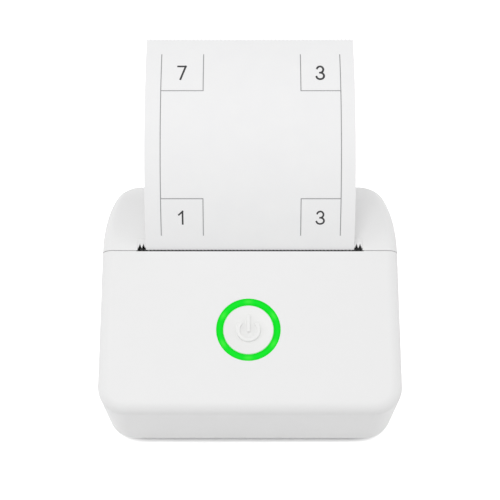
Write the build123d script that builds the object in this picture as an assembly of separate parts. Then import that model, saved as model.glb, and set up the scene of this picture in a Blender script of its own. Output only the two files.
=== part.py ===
from build123d import *
import math
import os

# Portable thermal printer: a palm-sized box lying on its base, button face up.
# X is the width, Y the depth with the front at -Y, Z is up.
# The origin is the centre of the base face.

# Outer form
side_room = 11.25
head_room = 9.0
body_depth = 67.45
crown_r = 25.6
front_corner_r = 7.0
side_arc_r = 64.0
rear_corner_r = 12.0
top_edge_r = 2.8
base_edge_r = 6.8
wall = 1.8
seam_gap = 0.3
base_lift = 0.8
rim_height = 4.9
crown_fillet_rise = 1.2

# Base plate
base_opening_inset = 8.5
plate_gap = 0.15
tongue_x = 16.0
tongue_width = 8.0
tongue_reach = 2.0
tongue_thickness = 1.1
reset_hole_r = 0.6
base_screw_inset = 2.45
base_screw_from_front = 12.0
screw_clear_r = 1.0
screw_head_r = 1.9
screw_head = 1.2
screw_shank_r = 0.8
base_screw_length = 7.0
frame_screw_length = 2.4
boss_r = 2.2
base_pilot_depth = 8.0

# Cover hinge
barrel_r = 3.2
hinge_z = 8.5
hinge_pin_r = 1.0
barrel_half_span = 20.0
fixed_barrel_in = 7.0
fixed_barrel_out = 12.0
barrel_gap = 0.2
running_gap = 0.05
press_gap = 0.01
notch_front_room = 0.4
notch_top_room = 0.7

# Side tongues that line the cover up with the body
lap_reach = 3.0
lap_thickness = 1.3
lap_below_top = 6.5
lap_height = 4.0
tongue_gap = 0.3

# Paper
paper_width = 53.0
paper_thickness = 0.1
strip_r = 49.3
strip_behind_seam = 0.5
strip_centre_down = 32.5
strip_end_deg = 72.2
nip_below_top = 7.48
strip_gap = 0.2
end_tooth_pitch = 1.0
end_tooth_height = 0.55
roll_r = 12.0
roll_behind_seam = 9.0
trough_lift = 1.6
core_r = 6.5
core_wall = 1.0
roll_gap = 0.3
contact_gap = 0.02

# Slot and tear bar
slot_width = 57.3
tear_bar_depth = 2.5
tear_bar_thickness = 1.2
tear_tooth_pitch = 0.92
tear_tooth_depth = 1.15
tooth_gap_share = 0.92
slot_front_gap = 0.4
ledge_setback = 1.3
bar_gap = 0.02
fit_gap = 0.05

# Platen and gears
platen_r = 3.5
platen_overhang = 0.5
platen_shaft_r = 1.5
bush_wall = 0.7
bush_flange = 0.6
bush_length = 1.6
arm_gap = 1.1
arm_thickness = 1.6
arm_r = 3.0
bracket_behind_seam = 1.3
bracket_depth = 5.5
bracket_below_top = 3.7
bracket_thickness = 1.2
bracket_screw_inset = 11.2
gear_module = 0.4
platen_teeth = 14
idler_teeth = 34
pinion_teeth = 12
gear_gap = 0.4
gear_width = 2.0
mesh_gap = 0.08
tooth_thinning = 0.05
idler_post_r = 1.0
pinion_from_idler_deg = -100.0
pressure_deg = 20.0
gear_tip = 0.9
gear_root = 1.2
hub_stand = 0.6
shaft_end = 0.2

# Motor
motor_r = 5.0
motor_length = 13.0
motor_shaft_r = 0.75
motor_ear_reach = 6.6
motor_ear_r = 1.5
motor_plate = 0.8
motor_screw_r = 0.6
motor_screw_head_r = 1.1
motor_screw_head = 0.7
motor_shaft_inside = 3.8
motor_collar_r = 2.0
idler_hub_r = 2.4

# Print head
head_strip_thickness = 1.0
head_strip_low = -5.0
head_strip_high = 2.5
head_inset = 0.5
sink_thickness = 2.5
sink_low = -9.0
sink_high = 2.2
sink_gap = 0.7
pivot_along = -8.5
pivot_out = 2.6
pivot_boss_r = 2.2
pivot_pin_r = 1.0
leaf_thickness = 0.3
leaf_touch_gap = 0.25
leaf_half_width = 12.0
beam_low = -8.0
beam_high = -3.0
beam_near = 5.2
beam_thickness = 1.2
ribbon_half_width = 15.0
ribbon_thickness = 0.3
ribbon_bend = 1.4
shift_room = 0.3

# Mechanism frame
cheek_gap = 0.8
cheek_thickness = 1.2
cheek_before_seam = 17.4
cheek_behind_roll = 10.0
frame_floor = 1.4
well_wall = 1.0
well_start_deg = 200.0
well_end_deg = 300.0
frame_screw_inset = 8.5
frame_screws_before_seam = (14.2, 1.7)

# Button, ring and board
button_x = -0.4
button_from_seam = 20.77
ring_outer_r = 8.02
ring_inner_r = 6.45
ring_bore_r = 7.2
ring_flange_r = 9.6
ring_flange = 1.0
ring_below_top = 4.4
ring_sink = 0.1
ring_step_below_top = 1.9
button_gap = 0.08
button_travel = 0.4
button_flange_r = 6.9
button_flange = 0.9
button_stem_r = 2.0
symbol_r = 3.05
symbol_stroke = 0.95
symbol_edge = 0.12
symbol_rise = 0.1
symbol_gap_deg = 92.0
symbol_bar_top = 4.0
symbol_bar_low = -0.6
dish_depth = 0.55
board_below_top = 5.3
board_thickness = 1.2
board_side_gap = 1.95
board_front_gap = 2.2
board_before_seam = 12.6
board_post_inset = 3.0
board_post_front_gap = 3.5
board_post_rear_gap = 6.6
board_screw_length = 3.6
board_corner_r = 3.0
board_pilot_depth = 3.0
pan_head_r = 1.4
pan_head = 0.9
board_post_r = 1.8
board_screw_r = 0.7
led_count = 6
led_length = 1.6
led_width = 0.8
led_height = 0.5
switch_size = 6.2
switch_height = 1.6
switch_cap_r = 1.5
chip_sizes = [(-18.5, 13.5, 7.0, 7.0, 0.9), (1.0, 6.0, 14.0, 10.0, 2.2),
              (18.0, 5.0, 4.0, 4.0, 1.0), (15.0, 15.5, 6.0, 4.0, 1.6)]
usb_before_seam = 26.2
usb_width = 8.9
usb_height = 3.2
usb_depth = 7.3
usb_skin = 0.35
usb_hole_gap = 0.25
usb_into_wall = 0.6
usb_back = 1.0
usb_tongue_share = 0.375
usb_tongue_setback = 0.8

# Battery and sensor
battery_side_gap = 2.8
battery_front_gap = 6.2
battery_frame_gap = 0.6
battery_height = 12.0
battery_edge_r = 1.6
pad_thickness = 0.3
pad_inset = 2.5
sensor_size = (4.0, 1.3, 2.5)
sensor_setback = 0.1

# Places that follow from those sizes
front_y = -body_depth / 2
rear_y = body_depth / 2
seam_y = rear_y - crown_r
floor_z = base_lift + wall
roll_y = seam_y + roll_behind_seam
roll_z = floor_z + trough_lift + well_wall + roll_gap + roll_r
body_width = paper_width + 2 * side_room
body_height = roll_z + roll_r + head_room
roof_z = body_height - wall
hinge_y = rear_y - barrel_r
arc_y = seam_y + strip_behind_seam + math.sqrt(strip_r ** 2 - strip_centre_down ** 2)
arc_z = body_height - strip_centre_down
nip_deg = 180 - math.degrees(math.asin((strip_centre_down - nip_below_top) / strip_r))
slot_half = slot_width / 2
paper_half = paper_width / 2
cheek_x = paper_half + cheek_gap
cheek_front = seam_y - cheek_before_seam
cheek_rear = roll_y + cheek_behind_roll
arm_x = cheek_x + cheek_thickness + arm_gap
gear_x = arm_x + arm_thickness + gear_gap
head_half_width = paper_half - head_inset
sink_half_width = cheek_x - sink_gap
platen_length = paper_width + platen_overhang
bracket_front = seam_y + bracket_behind_seam
bracket_top_z = body_height - bracket_below_top
bracket_screw_x = arm_x + arm_thickness - bracket_screw_inset
base_screw_x = body_width / 2 - base_opening_inset - base_screw_inset
base_screw_y = front_y + base_screw_from_front
frame_screw_x = cheek_x + cheek_thickness - frame_screw_inset
button_y = seam_y - button_from_seam
ring_bottom_z = body_height - ring_below_top
ring_step_z = body_height - ring_step_below_top
board_top_z = body_height - board_below_top
board_low_z = board_top_z - board_thickness
board_half_width = body_width / 2 - wall - board_side_gap
board_front = front_y + wall + board_front_gap
board_rear = seam_y - board_before_seam
board_post_x = board_half_width - board_post_inset
board_post_ys = (board_front + board_post_front_gap, board_rear - board_post_rear_gap)
usb_y = seam_y - usb_before_seam
battery_half_length = base_screw_x - battery_side_gap
battery_front = front_y + wall + battery_front_gap
battery_rear = cheek_front - battery_frame_gap


def block(x0, x1, y0, y1, z0, z1):
    """A box between two corners."""
    size = (x1 - x0, y1 - y0, z1 - z0)
    return Pos((x0 + x1) / 2, (y0 + y1) / 2, (z0 + z1) / 2) * Box(*size)


def rod_x(y, z, radius, x0, x1):
    """A round bar along X."""
    return Pos((x0 + x1) / 2, y, z) * Rot(0, 90, 0) * Cylinder(radius, x1 - x0)


def rod_z(x, y, radius, z0, z1):
    """A round bar along Z."""
    return Pos(x, y, (z0 + z1) / 2) * Cylinder(radius, z1 - z0)


def prism_x(points, x0, x1):
    """A polygon drawn in Y and Z, run along X."""
    face = Plane.YZ * make_face(Polyline(*points, close=True).edges())
    return Pos(x0, 0, 0) * extrude(face, x1 - x0, dir=(1, 0, 0))


def both_sides(shape):
    """A piece and its mirror image in the middle plane."""
    return shape + mirror(shape, about=Plane.YZ)


def screw(x, y, z, head_r, head_h, shank_r, length, up=1):
    """A pan-head screw; its head starts at z and its shank points up or down."""
    head = rod_z(x, y, head_r, min(z, z + up * head_h), max(z, z + up * head_h))
    ends = sorted((z + up * head_h, z + up * (head_h + length)))
    shank = rod_z(x, y, shank_r, ends[0], ends[1])
    slot_deep = head_h / 2
    slot_ends = sorted((z, z + up * slot_deep))
    cross = block(x - head_r * 0.6, x + head_r * 0.6, y - 0.2, y + 0.2, *slot_ends)
    cross += block(x - 0.2, x + 0.2, y - head_r * 0.6, y + head_r * 0.6, *slot_ends)
    return head + shank - cross


def plan(inset):
    """The outline seen from above, drawn in by inset."""
    half = body_width / 2 - inset
    front = front_y + inset
    rear = rear_y - inset
    front_r = max(front_corner_r - inset, 1.0)
    side_r = side_arc_r - inset
    rear_r = rear_corner_r - inset
    turn = math.degrees(math.asin((rear - seam_y - rear_r) / (side_r - rear_r)))
    with BuildSketch() as outline:
        with BuildLine():
            front_line = Line((0, front), (half - front_r, front))
            corner = JernArc(front_line @ 1, (1, 0), front_r, 90)
            flank = Line(corner @ 1, (half, seam_y))
            side = JernArc(flank @ 1, (0, 1), side_r, turn)
            back = JernArc(side @ 1, side % 1, rear_r, 90 - turn)
            Line(back @ 1, (0, rear))
            mirror(about=Plane.YZ)
        make_face()
    return outline.sketch


def side_profile(inset, low):
    """The outline seen from the side, with the quarter-round crown at the rear."""
    front = front_y + inset
    rear = rear_y - inset
    top = body_height - inset
    with BuildSketch(Plane.YZ) as outline:
        with BuildLine():
            rise = Line((front, low), (front, top))
            face = Line(rise @ 1, (seam_y, top))
            crown = JernArc(face @ 1, (1, 0), crown_r - inset, -90)
            drop = Line(crown @ 1, (rear, low))
            Line(drop @ 1, rise @ 0)
        make_face()
    return outline.sketch


def sharp_form(inset, low):
    """Outline and side profile crossed, before any edge is rounded."""
    solid = Pos(0, 0, low) * extrude(plan(inset), body_height)
    return solid & extrude(side_profile(inset, low), body_width, both=True)


def round_base(solid, inset, low):
    """Round the bottom edges all the way round."""
    bottoms = [e for e in solid.edges() if e.bounding_box().max.Z < low + 0.01]
    return fillet(bottoms, base_edge_r - inset)


def outer_form():
    """The printer's outside, with the edges of the face and the crown rounded."""
    solid = sharp_form(0, base_lift)
    cut_z = body_height - crown_r + crown_fillet_rise
    upper = solid & block(-beyond, beyond, -beyond, beyond, cut_z, beyond)
    lower = solid & block(-beyond, beyond, -beyond, beyond, 0, cut_z)
    upper = fillet([e for e in upper.edges() if on_top_edge(e, cut_z)], top_edge_r)
    return round_base(upper + lower, 0, base_lift)


def on_top_edge(edge, cut_z):
    """True for the edges round the face and the crown, not for upright or cross lines."""
    box = edge.bounding_box()
    straight = edge.geom_type == GeomType.LINE
    upright = straight and box.size.Z > top_edge_r
    across = straight and box.min.Y > front_y + front_corner_r and box.size.X > box.size.Y
    return box.max.Z > cut_z + fit_gap and not upright and not across


beyond = 2 * body_width
outer = outer_form()
cavity = round_base(sharp_form(wall, floor_z), wall, floor_z)
hull = outer - cavity
seam_front = seam_y - seam_gap / 2
seam_back = seam_y + seam_gap / 2


def save(name, shape):
    """Write one piece, or one group of like pieces, under its node name."""
    shape.label = name
    export_step(shape, f"parts/{name}.step")


def arc_point(radius, degrees):
    """A point at an angle round the paper's arc centre, as Y and Z."""
    angle = math.radians(degrees)
    return arc_y + radius * math.cos(angle), arc_z + radius * math.sin(angle)


nip_y, nip_z = arc_point(strip_r, nip_deg)
nip_out = (math.cos(math.radians(nip_deg)), math.sin(math.radians(nip_deg)))
nip_along = (nip_out[1], -nip_out[0])


def head_point(along, out):
    """A point by its distance along the print head and out from the paper."""
    y = nip_y + along * nip_along[0] + out * nip_out[0]
    z = nip_z + along * nip_along[1] + out * nip_out[1]
    return y, z


platen_y, platen_z = arc_point(strip_r - paper_thickness / 2 - contact_gap - platen_r, nip_deg)
pivot_y, pivot_z = head_point(pivot_along, pivot_out)


def body_shell():
    """Front box with the button face, and the low rim that runs round the rear."""
    front = hull & block(-beyond, beyond, -beyond, seam_front, 0, body_height)
    rim = hull & block(-beyond, beyond, seam_front - 1, beyond, 0, rim_height)
    shell = front + rim
    shell -= extrude(plan(base_opening_inset), floor_z + fit_gap)
    posts = both_sides(rod_z(base_screw_x, base_screw_y, boss_r, floor_z, roof_z + fit_gap))
    for y in board_post_ys:
        posts += both_sides(rod_z(board_post_x, y, board_post_r, board_top_z, roof_z + fit_gap))
    shell += posts
    pilot_top = floor_z + base_pilot_depth
    shell -= both_sides(rod_z(base_screw_x, base_screw_y, screw_shank_r + running_gap, 0, pilot_top))
    pilot_r = board_screw_r + running_gap
    pilot_top = board_top_z + board_pilot_depth
    for y in board_post_ys:
        shell -= both_sides(rod_z(board_post_x, y, pilot_r, board_top_z - 1, pilot_top))
    shell -= rod_z(button_x, button_y, ring_outer_r + fit_gap, roof_z - 1, body_height + 1)
    slot = rod_x(arc_y, arc_z, strip_r + paper_thickness / 2 + slot_front_gap, -slot_half, slot_half)
    shell -= slot & block(-slot_half, slot_half, 0, rear_y, roof_z - 5, body_height + 1)
    shell -= usb_hole()
    barrel = rod_x(hinge_y, hinge_z, barrel_r, fixed_barrel_in, fixed_barrel_out)
    foot_front = hinge_y - barrel_r
    foot = block(fixed_barrel_in, fixed_barrel_out, foot_front, rear_y, floor_z - 1, hinge_z)
    shell += both_sides(barrel + (foot & outer))
    shell -= rod_x(hinge_y, hinge_z, hinge_pin_r + press_gap, -barrel_half_span, barrel_half_span)
    return shell


def usb_hole():
    """Rounded window for the charging plug in the right wall."""
    half_h = usb_height / 2 + usb_hole_gap
    half_w = usb_width / 2 + usb_hole_gap
    z = board_low_z - usb_height / 2
    wall_x = body_width / 2
    inside = wall_x - wall - 1
    window = block(inside, wall_x + 1, usb_y - half_w, usb_y + half_w, z - half_h, z + half_h)
    return fillet(window.edges().filter_by(Axis.X), half_h - 0.3)


def cover_shell():
    """Rear cover: crown, side walls and rear wall, with the moving hinge barrels."""
    shell = hull & block(-beyond, beyond, seam_back, beyond, rim_height + seam_gap, body_height)
    barrel_half = barrel_half_span - barrel_gap
    below = block(-beyond, beyond, hinge_y, rear_y + 1, 0, hinge_z)
    shell -= below - rod_x(hinge_y, hinge_z, barrel_r, -beyond, beyond)
    shell += rod_x(hinge_y, hinge_z, barrel_r, -barrel_half, barrel_half)
    notch_in = fixed_barrel_in - barrel_gap
    notch_out = fixed_barrel_out + barrel_gap
    notch_front = hinge_y - barrel_r - notch_front_room
    notch_top = hinge_z + barrel_r + notch_top_room
    notch = block(notch_in, notch_out, notch_front, rear_y + 1, 0, notch_top)
    shell -= both_sides(notch)
    pin_span = barrel_half_span + 0.1
    shell -= rod_x(hinge_y, hinge_z, hinge_pin_r + running_gap, -pin_span, pin_span)
    inside_wall = body_width / 2 - wall
    lap_top = body_height - lap_below_top
    tongue = block(inside_wall - tongue_gap - lap_thickness, inside_wall - tongue_gap,
                   seam_y - lap_reach, seam_y + lap_reach, lap_top - lap_height, lap_top)
    root = block(inside_wall - tongue_gap - lap_thickness, inside_wall + wall / 2,
                 seam_back, seam_y + lap_reach, lap_top - lap_height, lap_top)
    shell += both_sides(tongue + root)
    boss_y = bracket_front + bracket_depth / 2
    boss = rod_z(bracket_screw_x, boss_y, boss_r, bracket_top_z, roof_z)
    shell += both_sides(boss & outer)
    pilot_top = bracket_top_z + bracket_below_top / 3
    shell -= both_sides(rod_z(bracket_screw_x, boss_y, board_screw_r + running_gap, 0, pilot_top))
    pocket_y = tear_bar_front() + tear_bar_depth + bar_gap
    seat_z = body_height - tear_bar_thickness - bar_gap
    shell -= block(-slot_half, slot_half, 0, pocket_y, seat_z, body_height + 1)
    inside = rod_x(arc_y, arc_z, strip_r - paper_thickness / 2 - strip_gap, -slot_half, slot_half)
    mouth = block(-slot_half, slot_half, 0, seam_y + 3, roof_z - 5, body_height + 1)
    ledge_rear = tear_bar_front() + ledge_setback
    ledge = block(-slot_half, slot_half, 0, ledge_rear, roof_z - 5, body_height + 1)
    return shell - (mouth - inside) - ledge


def tear_bar_front():
    """Where the tooth tips stand behind the paper at the top of the slot."""
    reach = strip_r - paper_thickness / 2 - strip_gap
    return arc_y - math.sqrt(reach ** 2 - (body_height - arc_z) ** 2)


def tear_bar():
    """Toothed strip let into the front edge of the cover, flush with its top."""
    half = slot_half - bar_gap
    front = tear_bar_front()
    seat_z = body_height - tear_bar_thickness
    bar = outer & block(-half, half, front, front + tear_bar_depth, seat_z, body_height + 1)
    count = int(2 * half / tear_tooth_pitch)
    notches = []
    for i in range(count):
        x = (i - (count - 1) / 2) * tear_tooth_pitch
        half_gap = tear_tooth_pitch * tooth_gap_share / 2
        tips = front - fit_gap
        corners = [(x - half_gap, tips), (x + half_gap, tips), (x, front + tear_tooth_depth)]
        notches.append(make_face(Polyline(*corners, close=True).edges()))
    cutter = extrude(Pos(0, 0, seat_z - 1) * Sketch(children=notches), tear_bar_thickness + 2)
    return bar - cutter


def base_plate():
    """Bottom plate that the printer stands on, hooked in at the rear."""
    plate = extrude(plan(base_opening_inset + plate_gap), floor_z)
    edge_y = rear_y - base_opening_inset - plate_gap
    low = floor_z + plate_gap
    tongue = block(tongue_x - tongue_width / 2, tongue_x + tongue_width / 2,
                   edge_y - 4, edge_y + tongue_reach, low, low + tongue_thickness)
    root = block(tongue_x - tongue_width / 2, tongue_x + tongue_width / 2,
                 edge_y - 4, edge_y - fit_gap, floor_z - 1, low + tongue_thickness)
    plate += both_sides(tongue + root)
    for x, y in base_screw_places() + frame_screw_places():
        plate -= rod_z(x, y, screw_head_r + plate_gap, -1, screw_head + 2 * plate_gap)
        plate -= rod_z(x, y, screw_clear_r, -1, floor_z + 1)
    return plate - rod_z(base_screw_x / 3, base_screw_y / 1.5, reset_hole_r, -1, floor_z + 1)


def base_screw_places():
    """Two screws at the front of the base."""
    return [(-base_screw_x, base_screw_y), (base_screw_x, base_screw_y)]


def frame_screw_places():
    """Four screws that hold the mechanism frame on the base plate."""
    ys = [seam_y - y for y in frame_screws_before_seam]
    return [(side * frame_screw_x, y) for side in (-1, 1) for y in ys]


def screw_group(places, length):
    """Like screws driven up through the base plate."""
    group = None
    for x, y in places:
        one = screw(x, y, 1.5 * plate_gap, screw_head_r, screw_head, screw_shank_r, length)
        group = one if group is None else group + one
    return group


def mechanism_frame():
    """Moulded chassis: two cheeks, the roll's trough, a floor and the spring beam."""
    horn_top = roof_z - wall
    horn_low = board_low_z - roll_gap
    outline = [(cheek_front, floor_z), (cheek_rear - 2, floor_z), (cheek_rear, hinge_z),
               (cheek_rear, roll_z), (platen_y + arm_r, roll_z + arm_r),
               (platen_y - arm_r, platen_z - 2 * platen_r), (pivot_y + arm_r, platen_z),
               (pivot_y + arm_r, horn_top), (pivot_y, horn_top), (pivot_y, horn_low),
               (cheek_front, horn_low)]
    out = cheek_x + cheek_thickness
    frame = both_sides(prism_x(outline, cheek_x, out))
    floor_rear = seam_y + frame_floor
    frame += block(-out, out, cheek_front, floor_rear, floor_z, floor_z + frame_floor)
    trough_r = roll_r + roll_gap
    trough = rod_x(roll_y, roll_z, trough_r + well_wall, -out, out)
    trough -= rod_x(roll_y, roll_z, trough_r, -out, out)
    wedge = sector(roll_y, roll_z, 2 * roll_r, well_start_deg, well_end_deg)
    frame += trough & prism_x(wedge, -out, out)
    beam = [head_point(beam_low, beam_near), head_point(beam_high, beam_near),
            head_point(beam_high, beam_near + beam_thickness),
            head_point(beam_low, beam_near + beam_thickness)]
    frame += prism_x(beam, -out, out)
    frame += rod_x(idler_y, idler_z, idler_post_r, out - shaft_end, gear_x + gear_width + 2 * shaft_end)
    frame -= rod_x(pivot_y, pivot_z, pivot_pin_r + press_gap, -beyond, beyond)
    frame -= rod_x(motor_y, motor_z, motor_collar_r, cheek_x - 1, out + 1)
    for y, z in motor_screw_places():
        frame -= rod_x(y, z, motor_screw_r + running_gap, cheek_x - 1, out + 1)
    for x, y in frame_screw_places():
        frame -= rod_z(x, y, screw_shank_r + running_gap, 0, floor_z + frame_floor + 1)
    return frame


def sector(y, z, radius, start, end):
    """A wedge of a circle as points, wide enough for the trough's cut."""
    steps = 6
    points = [(y, z)]
    for i in range(steps + 1):
        angle = math.radians(start + (end - start) * i / steps)
        points.append((y + radius * math.cos(angle), z + radius * math.sin(angle)))
    return points


# Gear centres: the idler lies opposite the way the cover lifts the platen away
lift_y, lift_z = platen_z - hinge_z, hinge_y - platen_y
lift = math.hypot(lift_y, lift_z)
platen_pitch_r = gear_module * platen_teeth / 2
idler_pitch_r = gear_module * idler_teeth / 2
pinion_pitch_r = gear_module * pinion_teeth / 2
idler_y = platen_y - (platen_pitch_r + idler_pitch_r + mesh_gap) * lift_y / lift
idler_z = platen_z - (platen_pitch_r + idler_pitch_r + mesh_gap) * lift_z / lift
pinion_turn = math.radians(pinion_from_idler_deg)
motor_y = idler_y + (idler_pitch_r + pinion_pitch_r + mesh_gap) * math.cos(pinion_turn)
motor_z = idler_z + (idler_pitch_r + pinion_pitch_r + mesh_gap) * math.sin(pinion_turn)
idler_phase = math.atan2(lift_z, lift_y)
platen_phase = idler_phase + math.pi + math.pi / platen_teeth
tooth_angle = 2 * math.pi / idler_teeth
past_tooth = (idler_phase - pinion_turn) % tooth_angle
pinion_phase = pinion_turn + math.pi + math.pi / pinion_teeth - past_tooth * idler_teeth / pinion_teeth


def motor_screw_places():
    """Two screws above the motor, at 45 degrees each side."""
    reach = motor_ear_reach / math.sqrt(2)
    return [(motor_y - reach, motor_z + reach), (motor_y + reach, motor_z + reach)]


def gear(teeth, y, z, phase, bore_r, hub_r=0.0):
    """A spur gear with involute flanks, standing on the gear plane."""
    pitch_r = gear_module * teeth / 2
    tip_r = pitch_r + gear_tip * gear_module
    root_r = pitch_r - gear_root * gear_module
    pressure = math.radians(pressure_deg)
    base_r = pitch_r * math.cos(pressure)
    half = math.pi / (2 * teeth) - tooth_thinning / pitch_r
    start_r = max(base_r, root_r)
    flank = []
    for i in range(4):
        radius = start_r + (tip_r - start_r) * i / 3
        roll = math.acos(min(1.0, base_r / radius))
        flank.append((radius, half + math.tan(pressure) - pressure - math.tan(roll) + roll))
    flank.insert(0, (root_r, flank[0][1]))
    points = []
    for tooth in range(teeth):
        middle = phase + 2 * math.pi * tooth / teeth
        rising = [(r, middle - a) for r, a in flank]
        falling = [(r, middle + a) for r, a in reversed(flank)]
        for radius, angle in rising + falling:
            points.append((y + radius * math.cos(angle), z + radius * math.sin(angle)))
    wheel = prism_x(points, gear_x, gear_x + gear_width)
    if hub_r:
        wheel += rod_x(y, z, hub_r, gear_x - hub_stand, gear_x + gear_width)
    return wheel - rod_x(y, z, bore_r, gear_x - 1, gear_x + gear_width + 1)


def feed_motor():
    """Small stepper can with its mounting plate against the right cheek."""
    face = cheek_x
    can = rod_x(motor_y, motor_z, motor_r, face - motor_length, face)
    plate = rod_x(motor_y, motor_z, motor_r - 0.2, face - motor_plate, face)
    for y, z in motor_screw_places():
        plate += rod_x(y, z, motor_ear_r, face - motor_plate, face)
        middle = [(motor_y - 2, motor_z), (motor_y + 2, motor_z), (y + 1, z), (y - 1, z)]
        plate += prism_x(middle, face - motor_plate, face)
    motor = can + plate
    for y, z in motor_screw_places():
        motor -= rod_x(y, z, motor_screw_r + running_gap, face - motor_plate - 1, face + 1)
    bore_end = face - motor_shaft_inside * 1.05
    return motor - rod_x(motor_y, motor_z, motor_shaft_r + running_gap, bore_end, face + 1)


def motor_screws():
    """Two screws through the motor plate into the cheek."""
    group = None
    for y, z in motor_screw_places():
        seat_x = cheek_x - motor_plate
        head = rod_x(y, z, motor_screw_head_r, seat_x - motor_screw_head, seat_x)
        shank = rod_x(y, z, motor_screw_r, seat_x, cheek_x + cheek_thickness * 0.8)
        group = head + shank if group is None else group + head + shank
    return group


def platen_bushes():
    """Flanged bushes that carry the platen shaft in the bracket's arms."""
    outer_r = platen_shaft_r + running_gap + bush_wall
    end = arm_x + bush_length
    bush = rod_x(platen_y, platen_z, outer_r, arm_x, end)
    bush += rod_x(platen_y, platen_z, outer_r + 0.5, arm_x - bush_flange, arm_x)
    bush -= rod_x(platen_y, platen_z, platen_shaft_r + running_gap, arm_x - 2, end + 1)
    return both_sides(bush)


def platen_bracket():
    """Pressed steel bracket under the cover's crown, with an arm at each end."""
    rear = bracket_front + bracket_depth
    out = arm_x + arm_thickness
    low = bracket_top_z - bracket_thickness
    plate = block(-out, out, bracket_front, rear, low, bracket_top_z)
    arm = [(bracket_front, bracket_top_z), (rear, bracket_top_z), (rear, low - 1),
           (platen_y + arm_r * 0.6, platen_z - arm_r * 0.8),
           (platen_y - arm_r * 0.5, platen_z + arm_r * 0.86)]
    arms = prism_x(arm, arm_x, out) + rod_x(platen_y, platen_z, arm_r, arm_x, out)
    bore_r = platen_shaft_r + running_gap + bush_wall + press_gap
    arms -= rod_x(platen_y, platen_z, bore_r, arm_x - 1, out + 1)
    bracket = plate + both_sides(arms)
    middle = bracket_front + bracket_depth / 2
    hole = rod_z(bracket_screw_x, middle, board_screw_r + running_gap, low - 1, bracket_top_z + 1)
    return bracket - both_sides(hole)


def bracket_screws():
    """Two screws up through the bracket into the cover's bosses."""
    middle = bracket_front + bracket_depth / 2
    low = bracket_top_z - bracket_thickness
    length = bracket_thickness + bracket_below_top / 4
    head_z = low - pan_head
    one = screw(bracket_screw_x, middle, head_z, pan_head_r, pan_head, board_screw_r, length)
    return both_sides(one)


def paper_strip():
    """Printed slip: an arc from the nip, out of the slot and back over the cover."""
    inner_r = strip_r - paper_thickness / 2
    strip = rod_x(arc_y, arc_z, inner_r + paper_thickness, -paper_half, paper_half)
    strip -= rod_x(arc_y, arc_z, inner_r, -paper_half, paper_half)
    wedge = sector(arc_y, arc_z, 2 * strip_r, strip_end_deg, nip_deg)
    strip = strip & prism_x(wedge, -paper_half, paper_half)
    end_y, end_z = arc_point(strip_r, strip_end_deg)
    turn = math.radians(strip_end_deg)
    outward = (0, math.cos(turn), math.sin(turn))
    end = Plane(origin=(0, end_y, end_z), x_dir=(1, 0, 0), z_dir=outward)
    notches = []
    count = round(paper_width / end_tooth_pitch)
    for i in range(count):
        x = (i - (count - 1) / 2) * end_tooth_pitch
        half = end_tooth_pitch * tooth_gap_share / 2
        corners = [(x - half, 0.1), (x + half, 0.1), (x, -end_tooth_height)]
        notches.append(make_face(Polyline(*corners, close=True).edges()))
    return strip - extrude(end * Sketch(children=notches), 1, both=True)


def paper_web():
    """Paper between the roll and the nip, wrapped round the front of the platen."""
    wrap_r = platen_r + contact_gap + paper_thickness / 2
    leave_r = roll_r + contact_gap + paper_thickness / 2
    apart = math.hypot(platen_y - roll_y, platen_z - roll_z)
    heading = math.atan2(platen_z - roll_z, platen_y - roll_y)
    normal = heading + math.acos((leave_r - wrap_r) / apart)
    out = (math.cos(normal), math.sin(normal))
    half = paper_thickness / 2
    sheet = [(roll_y + out[0] * (leave_r - half), roll_z + out[1] * (leave_r - half)),
             (roll_y + out[0] * (leave_r + half), roll_z + out[1] * (leave_r + half)),
             (platen_y + out[0] * (wrap_r + half), platen_z + out[1] * (wrap_r + half)),
             (platen_y + out[0] * (wrap_r - half), platen_z + out[1] * (wrap_r - half))]
    web = prism_x(sheet, -paper_half, paper_half)
    wrap = rod_x(platen_y, platen_z, wrap_r + half, -paper_half, paper_half)
    wrap -= rod_x(platen_y, platen_z, wrap_r - half, -paper_half, paper_half)
    wedge = sector(platen_y, platen_z, 3 * platen_r, nip_deg + 3, math.degrees(normal))
    return web + (wrap & prism_x(wedge, -paper_half, paper_half))


def print_head():
    """Ceramic heater strip that faces the paper at the nip."""
    near = paper_thickness / 2 + contact_gap
    far = near + head_strip_thickness
    corners = [head_point(head_strip_low, near), head_point(head_strip_high, near),
               head_point(head_strip_high, far), head_point(head_strip_low, far)]
    return prism_x(corners, -head_half_width, head_half_width)


def heat_sink():
    """Aluminium plate behind the heater strip, with its pivot boss."""
    near = paper_thickness / 2 + contact_gap + head_strip_thickness
    far = near + sink_thickness
    corners = [head_point(sink_low, near), head_point(sink_high, near),
               head_point(sink_high, far), head_point(sink_low, far)]
    plate = prism_x(corners, -sink_half_width, sink_half_width)
    plate += rod_x(pivot_y, pivot_z, pivot_boss_r, -sink_half_width, sink_half_width)
    return plate - rod_x(pivot_y, pivot_z, pivot_pin_r + running_gap, -beyond, beyond)


def head_spring():
    """Bent leaf of spring steel between the beam and the heat sink."""
    sink_back = paper_thickness / 2 + contact_gap + head_strip_thickness + sink_thickness
    touch = sink_back + leaf_touch_gap
    start, bend = beam_low + leaf_thickness, beam_low + 2
    heel, tip = -2.5, -1.5
    lift = leaf_thickness
    corners = [head_point(start, beam_near), head_point(bend, beam_near),
               head_point(heel, touch + lift), head_point(tip, touch + 2 * lift),
               head_point(tip, touch + lift), head_point(heel, touch),
               head_point(bend, beam_near - lift), head_point(start, beam_near - lift)]
    return prism_x(corners, -leaf_half_width, leaf_half_width)


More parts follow.
